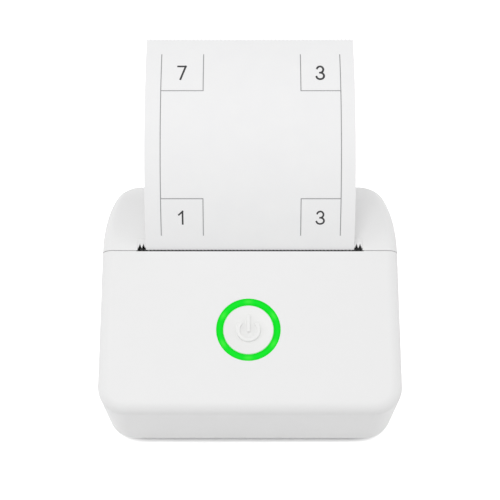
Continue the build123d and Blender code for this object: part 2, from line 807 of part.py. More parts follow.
def ribbon_path(shift):
    """The flat cable's line from the board down and round under the head."""
    front = pivot_y - 2 * pivot_boss_r - shift_room + shift
    rear = pivot_y + pivot_boss_r + shift_room * 2.7 - shift
    low = pivot_z - pivot_boss_r - 4 * ribbon_thickness - shift_room * 2.4 + shift
    bend = ribbon_bend - 0.6 * shift
    return [(front, board_low_z), (front, low + bend), (front + bend, low),
            (rear - bend, low), (rear, low + bend), (rear, pivot_z - 2 * ribbon_thickness)]


def head_ribbon():
    """Flat cable between the print head and the board."""
    points = ribbon_path(0) + list(reversed(ribbon_path(ribbon_thickness)))
    return prism_x(points, -ribbon_half_width, ribbon_half_width)


def power_button():
    """Round cap with a shallow dish, a raised power sign, a flange and a stem."""
    radius = ring_inner_r - button_gap
    top = body_height - ring_sink
    cap = rod_z(button_x, button_y, radius, ring_step_z - button_flange, top)
    cap = fillet(cap.edges().group_by(Axis.Z)[-1], 0.4)
    ball_r = (radius ** 2 + dish_depth ** 2) / (2 * dish_depth)
    cap -= Pos(button_x, button_y, top + ball_r - dish_depth) * Sphere(ball_r)
    flange_top = ring_step_z - fit_gap
    cap += rod_z(button_x, button_y, button_flange_r, flange_top - button_flange, flange_top)
    stem_low = board_top_z + switch_height + fit_gap
    cap += rod_z(button_x, button_y, button_stem_r, stem_low, ring_step_z)
    sign = Circle(symbol_r) - Circle(symbol_r - symbol_stroke)
    reach = 2 * symbol_r
    half_gap = math.radians(symbol_gap_deg / 2)
    wedge = [(0, 0), (-reach * math.tan(half_gap), reach), (reach * math.tan(half_gap), reach)]
    sign -= make_face(Polyline(*wedge, close=True).edges())
    bar_length = symbol_bar_top - symbol_bar_low
    sign += Pos(0, symbol_bar_low + bar_length / 2) * SlotOverall(bar_length, symbol_stroke, rotation=90)
    low = top - 2 * dish_depth
    straight = body_height + symbol_rise - symbol_edge - low
    raised = extrude(sign, straight)
    raised += Pos(0, 0, straight) * extrude(sign, symbol_edge, taper=45)
    return cap + Pos(button_x, button_y, low) * raised


def light_ring():
    """Clear green light pipe round the button, glued under the face by its flange."""
    top = body_height - ring_sink
    ring = rod_z(button_x, button_y, ring_outer_r, ring_bottom_z, top)
    ring += rod_z(button_x, button_y, ring_flange_r, roof_z - ring_flange, roof_z)
    ring -= rod_z(button_x, button_y, ring_inner_r, ring_bottom_z - 1, top + 1)
    return ring - rod_z(button_x, button_y, ring_bore_r, ring_bottom_z - 1, ring_step_z)


def ring_leds():
    """Six lamps on the board under the ring."""
    middle_r = (ring_bore_r + ring_outer_r) / 2
    group = None
    for i in range(led_count):
        turn = 90 + i * 360 / led_count
        z = board_top_z + led_height / 2
        lamp = Pos(button_x, button_y, z) * Rot(0, 0, turn) * Pos(middle_r, 0, 0)
        lamp = lamp * Box(led_width, led_length, led_height)
        group = lamp if group is None else group + lamp
    return group


def power_switch():
    """Body of the small switch under the button."""
    half = switch_size / 2
    top = board_top_z + switch_height - button_travel - 0.2
    body = block(button_x - half, button_x + half, button_y - half, button_y + half, board_top_z, top)
    return body - rod_z(button_x, button_y, switch_cap_r + running_gap, board_top_z + 0.2, top + 1)


def switch_plunger():
    """The switch's moving cap, which the button's stem stands on."""
    low = board_top_z + 0.2 + button_travel + fit_gap
    return rod_z(button_x, button_y, switch_cap_r, low, board_top_z + switch_height + fit_gap)


def main_board():
    """Circuit board hung under the button face."""
    low = board_low_z
    board = block(-board_half_width, board_half_width, board_front, board_rear, low, board_top_z)
    board = fillet(board.edges().filter_by(Axis.Z), board_corner_r)
    board -= both_sides(rod_z(base_screw_x, base_screw_y, boss_r + roll_gap, low - 1, board_top_z + 1))
    for y in board_post_ys:
        board -= both_sides(rod_z(board_post_x, y, board_screw_r + running_gap, low - 1, board_top_z + 1))
    return board


def board_chips():
    """Controller, radio module and power chips on the board's underside."""
    low = board_low_z
    chips = None
    for x, back, width, depth, height in chip_sizes:
        middle = board_front + back
        front, rear = middle - depth / 2, middle + depth / 2
        one = block(x - width / 2, x + width / 2, front, rear, low - height, low)
        chips = one if chips is None else chips + one
    return chips


def board_screws():
    """Four screws that hang the board from its posts."""
    group = None
    head_z = board_low_z - pan_head
    for y in board_post_ys:
        one = screw(board_post_x, y, head_z, pan_head_r, pan_head, board_screw_r, board_screw_length)
        pair = both_sides(one)
        group = pair if group is None else group + pair
    return group


def usb_port():
    """Charging socket: a rounded steel sleeve with its contact tongue."""
    top = board_low_z
    z = top - usb_height / 2
    end = body_width / 2 - wall + usb_into_wall
    half = usb_width / 2
    sleeve = block(end - usb_depth, end, usb_y - half, usb_y + half, top - usb_height, top)
    sleeve = fillet(sleeve.edges().filter_by(Axis.X), usb_height / 2 - 0.35)
    inner_h = usb_height / 2 - usb_skin
    bore = block(end - usb_depth + usb_back, end + 1, usb_y - half + usb_skin, usb_y + half - usb_skin,
                 z - inner_h, z + inner_h)
    bore = fillet(bore.edges().filter_by(Axis.X), inner_h - 0.2)
    tongue_half = usb_width * usb_tongue_share
    tongue_root = end - usb_depth + usb_back - 0.1
    tongue_tip = end - usb_tongue_setback
    tongue = block(tongue_root, tongue_tip, usb_y - tongue_half, usb_y + tongue_half,
                   z - usb_skin, z + usb_skin)
    return sleeve - bore + tongue


def battery():
    """Flat lithium cell standing on its foam pad."""
    low = floor_z + pad_thickness
    top = low + battery_height
    cell = block(-battery_half_length, battery_half_length, battery_front, battery_rear, low, top)
    return fillet(cell.edges().filter_by(Axis.X), battery_edge_r)


def battery_pad():
    """Foam tape under the cell."""
    half = battery_half_length - pad_inset
    return block(-half, half, battery_front + pad_inset, battery_rear - pad_inset,
                 floor_z, floor_z + pad_thickness)


def paper_sensor():
    """Reflective sensor on the trough's front lip, facing the paper."""
    lip_r = roll_r + roll_gap + well_wall
    turn = math.radians(well_start_deg)
    lip_y, lip_z = roll_y + lip_r * math.cos(turn), roll_z + lip_r * math.sin(turn)
    width, depth, height = sensor_size
    rear, low = lip_y + sensor_setback, lip_z + sensor_setback
    return block(-width / 2, width / 2, rear - depth, rear, low, low + height)


os.makedirs("parts", exist_ok=True)

save("body_shell", body_shell())
save("base_plate", base_plate())
save("base_screws", screw_group(base_screw_places(), base_screw_length))
save("cover_shell", cover_shell())
save("tear_bar", tear_bar())
save("hinge_pin", rod_x(hinge_y, hinge_z, hinge_pin_r, -barrel_half_span, barrel_half_span))
save("mechanism_frame", mechanism_frame())
save("frame_screws", screw_group(frame_screw_places(), frame_screw_length))
save("paper_roll", rod_x(roll_y, roll_z, roll_r, -paper_half, paper_half)
     - rod_x(roll_y, roll_z, core_r + contact_gap, -beyond, beyond))
save("roll_core", rod_x(roll_y, roll_z, core_r, -paper_half, paper_half)
     - rod_x(roll_y, roll_z, core_r - core_wall, -beyond, beyond))
save("paper_web", paper_web())
save("paper_strip", paper_strip())
shaft_right = gear_x + gear_width + shaft_end
shaft_left = -arm_x - arm_thickness - 3 * shaft_end
save("platen_shaft", rod_x(platen_y, platen_z, platen_shaft_r, shaft_left, shaft_right))
save("platen_roller", rod_x(platen_y, platen_z, platen_r, -platen_length / 2, platen_length / 2)
     - rod_x(platen_y, platen_z, platen_shaft_r + press_gap, -beyond, beyond))
save("platen_gear", gear(platen_teeth, platen_y, platen_z, platen_phase, platen_shaft_r + press_gap))
save("platen_bushes", platen_bushes())
save("platen_bracket", platen_bracket())
save("bracket_screws", bracket_screws())
idler_bore_r = idler_post_r + running_gap
save("idler_gear", gear(idler_teeth, idler_y, idler_z, idler_phase, idler_bore_r, idler_hub_r))
save("feed_motor", feed_motor())
save("motor_screws", motor_screws())
save("motor_shaft", rod_x(motor_y, motor_z, motor_shaft_r, cheek_x - motor_shaft_inside, shaft_right))
save("motor_pinion", gear(pinion_teeth, motor_y, motor_z, pinion_phase, motor_shaft_r + press_gap))
save("print_head", print_head())
save("heat_sink", heat_sink())
pin_half = cheek_x + cheek_thickness
save("head_pivot_pin", rod_x(pivot_y, pivot_z, pivot_pin_r, -pin_half, pin_half))
save("head_spring", head_spring())
save("head_ribbon", head_ribbon())
save("power_button", power_button())
save("light_ring", light_ring())
save("ring_leds", ring_leds())
save("power_switch", power_switch())
save("switch_plunger", switch_plunger())
save("main_board", main_board())
save("board_chips", board_chips())
save("board_screws", board_screws())
save("usb_port", usb_port())
save("battery", battery())
save("battery_pad", battery_pad())
save("paper_sensor", paper_sensor())
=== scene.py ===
import math
import bpy
import bmesh
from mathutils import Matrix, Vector


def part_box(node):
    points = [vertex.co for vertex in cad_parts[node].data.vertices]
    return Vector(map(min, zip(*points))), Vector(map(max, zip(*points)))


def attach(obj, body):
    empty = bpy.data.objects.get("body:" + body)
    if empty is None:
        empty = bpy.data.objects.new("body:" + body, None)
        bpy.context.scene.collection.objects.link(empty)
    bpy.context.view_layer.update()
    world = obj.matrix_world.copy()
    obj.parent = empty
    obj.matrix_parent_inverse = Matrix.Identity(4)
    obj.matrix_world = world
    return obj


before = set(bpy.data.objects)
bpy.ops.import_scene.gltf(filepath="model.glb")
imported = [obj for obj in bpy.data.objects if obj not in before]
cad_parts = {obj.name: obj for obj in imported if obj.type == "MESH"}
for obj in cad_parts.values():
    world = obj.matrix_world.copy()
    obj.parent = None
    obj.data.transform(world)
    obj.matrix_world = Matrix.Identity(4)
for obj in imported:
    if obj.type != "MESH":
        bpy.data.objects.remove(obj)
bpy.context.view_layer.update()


# Base plate. The bottom lid of the printer, moulded in the shell's own white plastic, a touch
# greyer. Two screws at the front and two hooks at the rear hold it, and a pinhole gives access
# to the reset switch.
def tint(red, green, blue):
    """A colour written as 0 to 255 screen values, as the shader wants it."""
    parts = []
    for value in (red, green, blue):
        share = value / 255
        parts.append(share / 12.92 if share <= 0.04045 else ((share + 0.055) / 1.055) ** 2.4)
    return (*parts, 1.0)


def start_finish(name):
    """A new finish, with its shader and the piece's own coordinates."""
    finish = bpy.data.materials.new(name)
    finish.use_nodes = True
    tree = finish.node_tree
    place = tree.nodes.new("ShaderNodeTexCoord")
    return finish, tree, tree.nodes["Principled BSDF"], place.outputs["Object"]


def speckle(tree, place, size, detail=2.0, stretch=(1, 1, 1)):
    """Noise whose features are about size metres across."""
    scaled = tree.nodes.new("ShaderNodeMapping")
    scaled.inputs["Scale"].default_value = stretch
    noise = tree.nodes.new("ShaderNodeTexNoise")
    noise.inputs["Scale"].default_value = 1 / size
    noise.inputs["Detail"].default_value = detail
    tree.links.new(place, scaled.inputs["Vector"])
    tree.links.new(scaled.outputs["Vector"], noise.inputs["Vector"])
    return noise.outputs["Fac"]


def between(tree, share, low, high, target):
    """Drive a number on the shader from low to high by a 0 to 1 share."""
    spread = tree.nodes.new("ShaderNodeMapRange")
    spread.inputs["To Min"].default_value = low
    spread.inputs["To Max"].default_value = high
    spread.inputs["From Min"].default_value = 0.25
    spread.inputs["From Max"].default_value = 0.75
    tree.links.new(share, spread.inputs["Value"])
    tree.links.new(spread.outputs["Result"], target)


def mingle(tree, share, first, second):
    """Two colours mixed by a 0 to 1 share; either may be a colour or another node's output."""
    mix = tree.nodes.new("ShaderNodeMix")
    mix.data_type = "RGBA"
    tree.links.new(share, mix.inputs["Factor"])
    for socket, colour in ((mix.inputs["A"], first), (mix.inputs["B"], second)):
        if isinstance(colour, tuple):
            socket.default_value = colour
        else:
            tree.links.new(colour, socket)
    return mix.outputs["Result"]


def relief(tree, shader, height, depth):
    """Bump on the shader, depth metres deep."""
    bump = tree.nodes.new("ShaderNodeBump")
    bump.inputs["Distance"].default_value = depth
    tree.links.new(height, bump.inputs["Height"])
    tree.links.new(bump.outputs["Normal"], shader.inputs["Normal"])


def moulded(name, colour, gloss, depth=0.000004, flow=0.985):
    """Injection-moulded plastic: spark-textured grain and faint flow marks in the colour."""
    finish, tree, shader, place = start_finish(name)
    flow_length = 0.018
    gloss_patch = 0.004
    grain = 0.00022
    marks = speckle(tree, place, flow_length, 3.0, (1.0, 0.35, 1.0))
    darker = tuple(part * flow for part in colour[:3]) + (1.0,)
    tree.links.new(mingle(tree, marks, darker, colour), shader.inputs["Base Color"])
    between(tree, speckle(tree, place, gloss_patch), *gloss, shader.inputs["Roughness"])
    relief(tree, shader, speckle(tree, place, grain, 3.0), depth)
    shader.inputs["Specular IOR Level"].default_value = 0.42
    return finish


def dress(node, finish):
    """Give a CAD node its finish in each of its material slots, adding a slot if it has none."""
    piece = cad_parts[node]
    if not piece.material_slots:
        piece.data.materials.append(finish)
    for held in piece.material_slots:
        held.material = finish


lid_white = moulded("lid_white", tint(226, 226, 224), gloss=(0.5, 0.62), depth=0.000006)
dress("base_plate", lid_white)


# Battery. A flat lithium cell in a heat-shrink sleeve, stuck to the base plate with a strip of
# grey foam tape. The sleeve is satin blue film, slightly rippled where it has shrunk.
sleeve_blue, tree, shader, place = start_finish("sleeve_blue")
ripple = speckle(tree, place, 0.006, 4.0, (0.4, 1.0, 1.0))
tree.links.new(mingle(tree, ripple, tint(36, 74, 142), tint(46, 90, 166)),
               shader.inputs["Base Color"])
between(tree, ripple, 0.22, 0.38, shader.inputs["Roughness"])
relief(tree, shader, ripple, 0.00012)
shader.inputs["Coat Weight"].default_value = 0.3
dress("battery", sleeve_blue)

foam_cell = 0.0003
foam_grey, tree, shader, place = start_finish("foam_grey")
cells = tree.nodes.new("ShaderNodeTexVoronoi")
cells.inputs["Scale"].default_value = 1 / foam_cell
tree.links.new(place, cells.inputs["Vector"])
tree.links.new(mingle(tree, cells.outputs["Distance"], tint(70, 70, 72), tint(112, 112, 114)),
               shader.inputs["Base Color"])
shader.inputs["Roughness"].default_value = 0.95
relief(tree, shader, cells.outputs["Distance"], 0.00008)
dress("battery_pad", foam_grey)


# Feed motor. A small geared stepper in a drawn steel can, plated bright, on a stamped plate that
# two screws hold against the right cheek. Its shaft is ground steel with a moulded pinion.
def metal(name, colour, gloss, streak):
    """Worked metal: fine streaks along the way that it was drawn or turned."""
    finish, tree, shader, place = start_finish(name)
    streak_width = 0.0004
    scratch_depth = 0.0000015
    dulling = 0.86
    lines = speckle(tree, place, streak_width, 4.0, streak)
    duller = tuple(part * dulling for part in colour[:3]) + (1.0,)
    tree.links.new(mingle(tree, lines, duller, colour), shader.inputs["Base Color"])
    between(tree, lines, *gloss, shader.inputs["Roughness"])
    relief(tree, shader, lines, scratch_depth)
    shader.inputs["Metallic"].default_value = 1.0
    return finish


can_plate = metal("can_plate", tint(196, 198, 200), gloss=(0.2, 0.32), streak=(1.0, 0.06, 0.06))
ground_steel = metal("ground_steel", tint(188, 190, 194), gloss=(0.14, 0.24),
                     streak=(1.0, 0.1, 0.1))
screw_zinc = metal("screw_zinc", tint(168, 170, 172), gloss=(0.28, 0.42), streak=(1.0, 1.0, 0.2))
gear_acetal = moulded("gear_acetal", tint(238, 236, 228), gloss=(0.28, 0.36), depth=0.000002)
shader = gear_acetal.node_tree.nodes["Principled BSDF"]
shader.inputs["Subsurface Weight"].default_value = 0.2
shader.inputs["Subsurface Scale"].default_value = 0.0008
dress("feed_motor", can_plate)
dress("motor_screws", screw_zinc)
dress("motor_shaft", ground_steel)
dress("motor_pinion", gear_acetal)


# Mechanism frame. The chassis that carries the roll's trough, the print head and the gear train.
# It is moulded in matt black glass-filled plastic and screwed to the base plate.
chassis_black, tree, shader, place = start_finish("chassis_black")
fibre = speckle(tree, place, 0.0006, 5.0, (0.25, 1.0, 1.0))
tree.links.new(mingle(tree, fibre, tint(34, 35, 37), tint(50, 51, 53)),
               shader.inputs["Base Color"])
between(tree, fibre, 0.5, 0.72, shader.inputs["Roughness"])
relief(tree, shader, fibre, 0.000012)
dress("mechanism_frame", chassis_black)
dress("frame_screws", screw_zinc)
dress("base_screws", screw_zinc)


# Print head. A glazed ceramic strip with one line of heaters, bonded to an extruded aluminium
# plate that rocks on a steel pin. A leaf spring presses it to the platen, and a flat ribbon
# cable brings it the dots to print.
glazed_ceramic, tree, shader, place = start_finish("glazed_ceramic")
haze = speckle(tree, place, 0.003)
heater_middle = (0.003216, 0.031020)
strip_slope = (0.5075, 0.8616)
heater_half = 0.00018
where = tree.nodes.new("ShaderNodeVectorMath")
where.operation = "DOT_PRODUCT"
where.inputs[1].default_value = (0.0, *strip_slope)
tree.links.new(place, where.inputs[0])
heater_place = heater_middle[0] * strip_slope[0] + heater_middle[1] * strip_slope[1]
near_line = tree.nodes.new("ShaderNodeMath")
near_line.operation = "COMPARE"
near_line.inputs[1].default_value = heater_place
near_line.inputs[2].default_value = heater_half
tree.links.new(where.outputs["Value"], near_line.inputs[0])
glaze = mingle(tree, haze, tint(206, 196, 178), tint(222, 214, 198))
tree.links.new(mingle(tree, near_line.outputs["Value"], glaze, tint(74, 50, 34)),
               shader.inputs["Base Color"])
between(tree, haze, 0.08, 0.16, shader.inputs["Roughness"])
shader.inputs["Coat Weight"].default_value = 0.8
dress("print_head", glazed_ceramic)

extruded_alloy = metal("extruded_alloy", tint(186, 188, 190), gloss=(0.3, 0.45),
                       streak=(0.04, 1.0, 1.0))
dress("heat_sink", extruded_alloy)
dress("head_pivot_pin", ground_steel)
spring_strip = metal("spring_strip", tint(150, 148, 142), gloss=(0.22, 0.34),
                     streak=(0.05, 1.0, 1.0))
dress("head_spring", spring_strip)

track_scale = 160.0
ribbon_amber, tree, shader, place = start_finish("ribbon_amber")
tracks = tree.nodes.new("ShaderNodeTexWave")
tracks.wave_type = "BANDS"
tracks.bands_direction = "X"
tracks.inputs["Scale"].default_value = track_scale
tree.links.new(place, tracks.inputs["Vector"])
tree.links.new(mingle(tree, tracks.outputs["Fac"], tint(168, 92, 22), tint(206, 140, 58)),
               shader.inputs["Base Color"])
relief(tree, shader, tracks.outputs["Fac"], 0.00003)
shader.inputs["Roughness"].default_value = 0.28
dress("head_ribbon", ribbon_amber)


# Idler gear. One acetal wheel on a post of the right cheek, between the motor's pinion and the
# platen's gear. It is the same natural white plastic as the pinion.
dress("idler_gear", gear_acetal)


# Body shell. The front box with the button face and the low rim round the rear, moulded in white
# ABS with a satin, finely spark-textured face and soft rounded edges.
shell_white = moulded("shell_white", tint(240, 240, 240), gloss=(0.42, 0.50), flow=0.992)
dress("body_shell", shell_white)


# Circuit board. Green glass-epoxy hung under the face on four posts, with its chips on the
# underside. Copper tracks show as paler lines under the lacquer.
board_track_scale = 260.0
board_track_width = 0.05
board_green, tree, shader, place = start_finish("board_green")
grid = tree.nodes.new("ShaderNodeTexBrick")
grid.inputs["Scale"].default_value = board_track_scale
grid.inputs["Mortar Size"].default_value = board_track_width
grid.inputs["Color1"].default_value = tint(14, 74, 44)
grid.inputs["Color2"].default_value = tint(16, 82, 50)
grid.inputs["Mortar"].default_value = tint(46, 122, 74)
tree.links.new(place, grid.inputs["Vector"])
weave = speckle(tree, place, 0.0005)
tree.links.new(mingle(tree, weave, grid.outputs["Color"], tint(20, 88, 54)),
               shader.inputs["Base Color"])
relief(tree, shader, grid.outputs["Fac"], 0.00002)
shader.inputs["Roughness"].default_value = 0.32
shader.inputs["Coat Weight"].default_value = 0.4
dress("main_board", board_green)

chip_epoxy, tree, shader, place = start_finish("chip_epoxy")
filler = speckle(tree, place, 0.00025, 4.0)
tree.links.new(mingle(tree, filler, tint(24, 24, 26), tint(40, 40, 42)), shader.inputs["Base Color"])
between(tree, filler, 0.45, 0.65, shader.inputs["Roughness"])
relief(tree, shader, filler, 0.00001)
dress("board_chips", chip_epoxy)
dress("power_switch", chip_epoxy)
dress("paper_sensor", chip_epoxy)
dress("switch_plunger", gear_acetal)
dress("board_screws", screw_zinc)


# Charging socket. A deep-drawn, nickel-plated sleeve with rounded ends, soldered under the board
# behind a window in the right wall. Its tongue carries the gold contacts.
drawn_nickel = metal("drawn_nickel", tint(204, 204, 200), gloss=(0.16, 0.28),
                     streak=(0.08, 1.0, 1.0))
dress("usb_port", drawn_nickel)
contact_gold = metal("contact_gold", tint(222, 176, 84), gloss=(0.18, 0.26), streak=(0.1, 1.0, 1.0))
socket_low, socket_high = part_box("usb_port")
contact_middle = (socket_low + socket_high) / 2
contact_count = 8
contact_pitch = 0.00068
contact_length = 0.0034
contact_width = 0.00034
contact_rise = 0.00004
contact_edge = 0.000015
mouth_to_contact = 0.0027
tongue_half_height = 0.00035
contacts = bmesh.new()
for step in range(contact_count):
    across = contact_middle.y + (step - (contact_count - 1) / 2) * contact_pitch
    for side in (-1, 1):
        level = contact_middle.z + side * (tongue_half_height + contact_rise / 2)
        pad = bmesh.ops.create_cube(contacts, size=1.0)["verts"]
        bmesh.ops.scale(contacts, vec=(contact_length, contact_width, contact_rise), verts=pad)
        bmesh.ops.translate(contacts, vec=(socket_high.x - mouth_to_contact, across, level),
                            verts=pad)
bmesh.ops.bevel(contacts, geom=contacts.edges[:], offset=contact_edge, segments=1,
                affect="EDGES")


def place_piece(name, shape, body, finish):
    """Turn a built shape into a piece that rides on a body."""
    mesh = bpy.data.meshes.new(name)
    shape.to_mesh(mesh)
    shape.free()
    mesh.materials.append(finish)
    piece = bpy.data.objects.new(name, mesh)
    bpy.context.scene.collection.objects.link(piece)
    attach(piece, body)


place_piece("usb_contacts", contacts, "base", contact_gold)


# Lamps and light ring. Six green lamps on the board shine up into a clear ring moulded in
# tinted acrylic, glued under the face by its flange. Lit, the ring glows an even bright green
# with a paler spot over each lamp.
ring_low, ring_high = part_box("light_ring")
button_centre = ((ring_low.x + ring_high.x) / 2, (ring_low.y + ring_high.y) / 2)
lamp_count = 6
ring_radius = 0.00725
edge_fade = 1150.0
spot_sharpness = 2.5
spot_strength = 0.6

lamp_glow, tree, shader, place = start_finish("lamp_glow")
glimmer = speckle(tree, place, 0.0006)
tree.links.new(mingle(tree, glimmer, tint(120, 255, 120), tint(180, 255, 170)),
               shader.inputs["Emission Color"])
shader.inputs["Emission Strength"].default_value = 1.5
shader.inputs["Base Color"].default_value = tint(210, 240, 200)
shader.inputs["Roughness"].default_value = 0.3
dress("ring_leds", lamp_glow)

ring_glow, tree, shader, place = start_finish("ring_glow")
apart = tree.nodes.new("ShaderNodeSeparateXYZ")
tree.links.new(place, apart.inputs["Vector"])


def work(tree, operation, *values):
    """One sum on the surface's own coordinates."""
    step = tree.nodes.new("ShaderNodeMath")
    step.operation = operation
    for socket, value in zip(step.inputs, values):
        if isinstance(value, (int, float)):
            socket.default_value = value
        else:
            tree.links.new(value, socket)
    return step.outputs["Value"]


from_x = work(tree, "SUBTRACT", apart.outputs["X"], button_centre[0])
from_y = work(tree, "SUBTRACT", apart.outputs["Y"], button_centre[1])
bearing = work(tree, "ARCTAN2", from_x, from_y)
beat = work(tree, "COSINE", work(tree, "MULTIPLY", bearing, lamp_count))
spot = work(tree, "POWER", work(tree, "MAXIMUM", beat, 0.0), spot_sharpness)
distance = work(tree, "SQRT", work(tree, "ADD", work(tree, "MULTIPLY", from_x, from_x),
                                   work(tree, "MULTIPLY", from_y, from_y)))
off_middle = work(tree, "ABSOLUTE", work(tree, "SUBTRACT", distance, ring_radius))
fade = work(tree, "MINIMUM", work(tree, "MULTIPLY", off_middle, edge_fade), 1.0)
core = work(tree, "SUBTRACT", 1.0, fade)
green = mingle(tree, core, tint(0, 222, 30), tint(2, 243, 38))
spot_share = work(tree, "MULTIPLY", work(tree, "MULTIPLY", spot, core), spot_strength)
tree.links.new(mingle(tree, spot_share, green, tint(86, 255, 74)), shader.inputs["Emission Color"])
shader.inputs["Emission Strength"].default_value = 0.92
shader.inputs["Base Color"].default_value = tint(0, 40, 10)
between(tree, speckle(tree, place, 0.002), 0.22, 0.3, shader.inputs["Roughness"])
shader.inputs["Specular IOR Level"].default_value = 0.05
dress("light_ring", ring_glow)


# Power button. A white cap, shallowly dished, with the power sign raised in the middle. It is
# moulded in the shell's plastic with a finer, smoother face.
button_white = moulded("button_white", tint(240, 240, 239), gloss=(0.34, 0.42), depth=0.000002,
                       flow=0.996)
dress("power_button", button_white)


# Rear cover. The crown and rear wall in the same white ABS, swinging on a steel pin through five
# moulded barrels. Its front edge carries the tear bar, and its steel bracket the platen.
dress("cover_shell", shell_white)
dress("hinge_pin", ground_steel)
pressed_plate = metal("pressed_plate", tint(192, 194, 196), gloss=(0.26, 0.4),
                      streak=(0.06, 1.0, 1.0))
dress("platen_bracket", pressed_plate)
dress("bracket_screws", screw_zinc)
sintered_bronze, tree, shader, place = start_finish("sintered_bronze")
pores = speckle(tree, place, 0.00015, 4.0)
tree.links.new(mingle(tree, pores, tint(128, 88, 44), tint(176, 128, 70)),
               shader.inputs["Base Color"])
between(tree, pores, 0.36, 0.55, shader.inputs["Roughness"])
relief(tree, shader, pores, 0.000008)
shader.inputs["Metallic"].default_value = 1.0
dress("platen_bushes", sintered_bronze)


# Platen. A ground steel shaft with a black silicone sleeve that grips the paper against the head,
# and a small acetal gear at its right end.
platen_silicone, tree, shader, place = start_finish("platen_silicone")
ground = speckle(tree, place, 0.00018, 3.0, (1.0, 0.5, 0.5))
tree.links.new(mingle(tree, ground, tint(30, 30, 31), tint(44, 44, 46)), shader.inputs["Base Color"])
between(tree, ground, 0.6, 0.78, shader.inputs["Roughness"])
relief(tree, shader, ground, 0.000012)
dress("platen_roller", platen_silicone)
dress("platen_shaft", ground_steel)
dress("platen_gear", gear_acetal)


# Tear bar. A thin strip moulded in white plastic, let flush into the cover's front edge, whose
# sharp little teeth cut the slip off. The slot shows dark between them.
dress("tear_bar", shell_white)


# Slot lip. A black toothed strip along the shell's edge of the slot, at the pitch of the
# tear bar's teeth. It is painted shade: a dark piece standing where the slot shows only shade.
slot_half = (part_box("tear_bar")[1].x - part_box("tear_bar")[0].x) / 2
shell_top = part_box("body_shell")[1].z
arc_centre = (0.045696, 0.0060)
slot_radius = 0.04975
tooth_pitch = 0.00092
tooth_width = 0.00046
lip_thickness = 0.00027
tooth_reach = 0.00009
lip_depth = 0.0012
lip_bedding = 0.0001
lip_recess = 0.00005
lip_top = shell_top - lip_recess


def on_slot_wall(across, level, out):
    """A point out from the slot's front wall towards the slip, at a height."""
    wall = arc_centre[0] - math.sqrt(slot_radius ** 2 - (level - arc_centre[1]) ** 2)
    return Vector((across, wall + out, level))


def lip_bar(shape, left, right, out):
    """One straight bar of the lip between two places across, following the curved wall."""
    rows = []
    corners = ((left, -lip_bedding), (right, -lip_bedding), (right, out), (left, out))
    for level in (lip_top, lip_top - lip_depth / 2, lip_top - lip_depth):
        rows.append([shape.verts.new(on_slot_wall(x, level, reach)) for x, reach in corners])
    for upper, lower in zip(rows[:-1], rows[1:]):
        for i in range(4):
            shape.faces.new((upper[i], lower[i], lower[(i + 1) % 4], upper[(i + 1) % 4]))
    shape.faces.new(rows[0])
    shape.faces.new(list(reversed(rows[-1])))


lip = bmesh.new()
lip_bar(lip, -slot_half, slot_half, lip_thickness)
tooth_count = int(2 * slot_half / tooth_pitch)
for step in range(tooth_count):
    across = (step - (tooth_count - 1) / 2) * tooth_pitch
    lip_bar(lip, across - tooth_width / 2, across + tooth_width / 2, lip_thickness + tooth_reach)
bmesh.ops.recalc_face_normals(lip, faces=lip.faces[:])
# Painted shade: a near-black speckled finish for the strip that stands in for the shade down in the
# slot.
slot_shade_black, tree, shader, place = start_finish("slot_shade_black")
strip_speckle = speckle(tree, place, 0.0004, 3.0)
tree.links.new(mingle(tree, strip_speckle, tint(26, 26, 27), tint(40, 40, 42)), shader.inputs["Base Color"])
between(tree, strip_speckle, 0.6, 0.8, shader.inputs["Roughness"])
relief(tree, shader, strip_speckle, 0.00001)
place_piece("painted_slot_shade", lip, "base", slot_shade_black)


# Seam bead. A pale ridge moulded on the body's face along the seam, just under the surface. It
# closes most of the gap to the cover from within, so that the seam reads as a fine grey line.
seam_plane = 0.008125
seam_corner = 0.0028
bead_inset = 0.00012
bead_depth = 0.0009
bead_back = seam_plane - 0.0002
bead_front = seam_plane + 0.00003
bead_low = 0.0115
bead_end = slot_half + 0.0003
corner_steps = 8
half_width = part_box("body_shell")[1].x

bead = bmesh.new()
for side in (-1, 1):
    course = [(half_width, bead_low, 1.0, 0.0)]
    for step in range(corner_steps + 1):
        turn = math.pi / 2 * step / corner_steps
        out_x, out_z = math.cos(turn), math.sin(turn)
        course.append((half_width + seam_corner * (out_x - 1),
                       shell_top + seam_corner * (out_z - 1), out_x, out_z))
    course.append((bead_end, shell_top, 0.0, 1.0))
    rows = []
    for across, level, out_x, out_z in course:
        rows.append([bead.verts.new((side * (across - inset * out_x), along, level - inset * out_z))
                     for inset, along in ((bead_inset, bead_back), (bead_inset, bead_front),
                                          (bead_depth, bead_front), (bead_depth, bead_back))])
    for near, far in zip(rows[:-1], rows[1:]):
        for i in range(4):
            bead.faces.new((near[i], near[(i + 1) % 4], far[(i + 1) % 4], far[i]))
    bead.faces.new(rows[0])
    bead.faces.new(list(reversed(rows[-1])))
bmesh.ops.recalc_face_normals(bead, faces=bead.faces[:])
place_piece("seam_bead", bead, "base", shell_white)


# Paper roll. Thermal paper wound on a grey-brown card core. Its ends show the turns as fine
# rings, darker between the turns by painted shade in the gaps, and its face is smooth, cool white.
paper_white, tree, shader, place = start_finish("paper_white")
cloud = speckle(tree, place, 0.006, 3.0)
fibres = speckle(tree, place, 0.0003, 5.0, (1.0, 0.4, 0.4))
tree.links.new(mingle(tree, cloud, tint(243, 243, 244), tint(247, 247, 247)),
               shader.inputs["Base Color"])
between(tree, fibres, 0.5, 0.62, shader.inputs["Roughness"])
relief(tree, shader, fibres, 0.000004)
shader.inputs["Specular IOR Level"].default_value = 0.3

